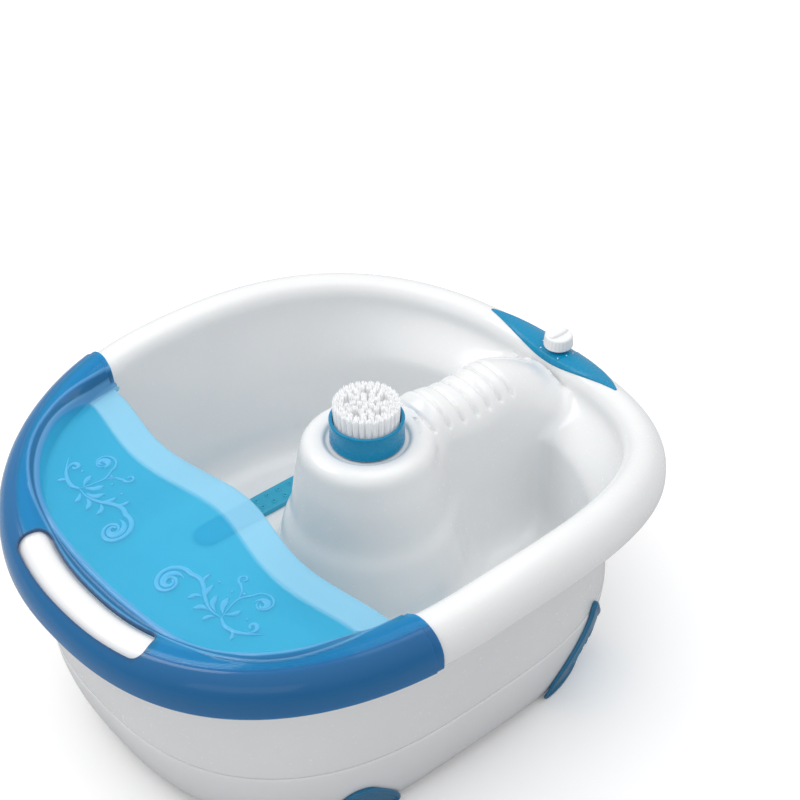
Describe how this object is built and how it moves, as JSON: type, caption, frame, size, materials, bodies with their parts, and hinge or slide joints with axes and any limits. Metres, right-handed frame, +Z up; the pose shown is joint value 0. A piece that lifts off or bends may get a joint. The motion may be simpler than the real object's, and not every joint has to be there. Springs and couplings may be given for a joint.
{
  "type": "foot spa basin",
  "caption": "Oval white foot bath with a raised centre brush, a translucent blue toe-end splash guard, a leaf-shaped control panel and teal corner feet, over a motor, pump and heater.",
  "frame": {"origin": "on the ground under the middle of the basin's length and width", "axes": "+X to the right with the heel end away, +Y from the toe end (splash guard) to the heel end (control), +Z up"},
  "size_m": [0.373, 0.4326, 0.1928],
  "materials": {
    "white_shell": "glossy moulded white ABS",
    "clear_blue": "clear blue polycarbonate, glossy",
    "cyan_plastic": "glossy cyan ABS",
    "teal_plastic": "glossy teal ABS",
    "knob_white": "satin",
    "bristle": "nylon tufts",
    "grey_plastic": "moulded",
    "black_rubber": "matt",
    "grey_rubber": "matt",
    "steel": "drawn",
    "zinc": "zinc plated",
    "weight_iron": "sintered",
    "copper": "enamelled copper wire on a laminated core",
    "brass": "nickel free brass",
    "aluminium": "rolled",
    "element_red": "insulated",
    "hose_pvc": "soft PVC",
    "board_green": "solder mask",
    "ivory": "moulded",
    "wire": "insulation",
    "cord_white": "PVC sheath"
  },
  "bodies": {
    "basin": {"tub": "white_shell", "base_tray": "white_shell", "control_panel": "cyan_plastic", "rotary_switch": "grey_plastic", "brush_socket": "grey_plastic", "socket_seal": "black_rubber", "front_left_foot": "teal_plastic", "front_right_foot": "teal_plastic", "rear_left_foot": "teal_plastic", "rear_right_foot": "teal_plastic", "rubber_pads": "grey_rubber", "vibration_motor": "steel", "motor_bracket": "zinc", "bracket_screws": "steel", "air_pump_case": "grey_plastic", "air_pump_cover": "grey_plastic", "pump_coil": "copper", "pump_bellows": "black_rubber", "left_air_hose": "hose_pvc", "right_air_hose": "hose_pvc", "left_bubble_strip": "cyan_plastic", "right_bubble_strip": "cyan_plastic", "heater_plate": "aluminium", "heating_element": "element_red", "thermal_cutout": "grey_plastic", "circuit_board": "board_green", "terminal_block": "ivory", "wiring_loom": "wire", "power_cord": "cord_white", "strain_relief": "black_rubber", "plug": "cord_white", "plug_pins": "brass", "base_screws": "steel"},
    "guard": {"splash_guard": "clear_blue"},
    "brush": {"brush_cup": "cyan_plastic", "brush_bristles": "bristle"},
    "knob": {"control_knob": "knob_white"},
    "rotor": {"motor_shaft": "steel", "eccentric_weight": "weight_iron"},
    "arm": {"pump_arm": "zinc"}
  },
  "joints": [
    {"name": "guard_lift", "type": "slide", "parent": "basin", "child": "guard", "axis": [0, 0, 1], "range_m": [0, 0.12]},
    {"name": "brush_lift", "type": "slide", "parent": "basin", "child": "brush", "axis": [0, 0, 1], "range_m": [0, 0.03]},
    {"name": "knob_turn", "type": "hinge", "parent": "basin", "child": "knob", "pos_m": [0, 0.2008, 0.158], "axis": [0, 0, 1], "range_deg": [-270, 0]},
    {"name": "motor_spin", "type": "hinge", "parent": "basin", "child": "rotor", "pos_m": [0, 0.027, 0.066], "axis": [1, 0, 0], "continuous": true},
    {"name": "pump_arm_swing", "type": "hinge", "parent": "basin", "child": "arm", "pos_m": [0, 0.08, 0.037], "axis": [1, 0, 0], "range_deg": [-2, 2], "deforming": ["pump_bellows"]}
  ]
}
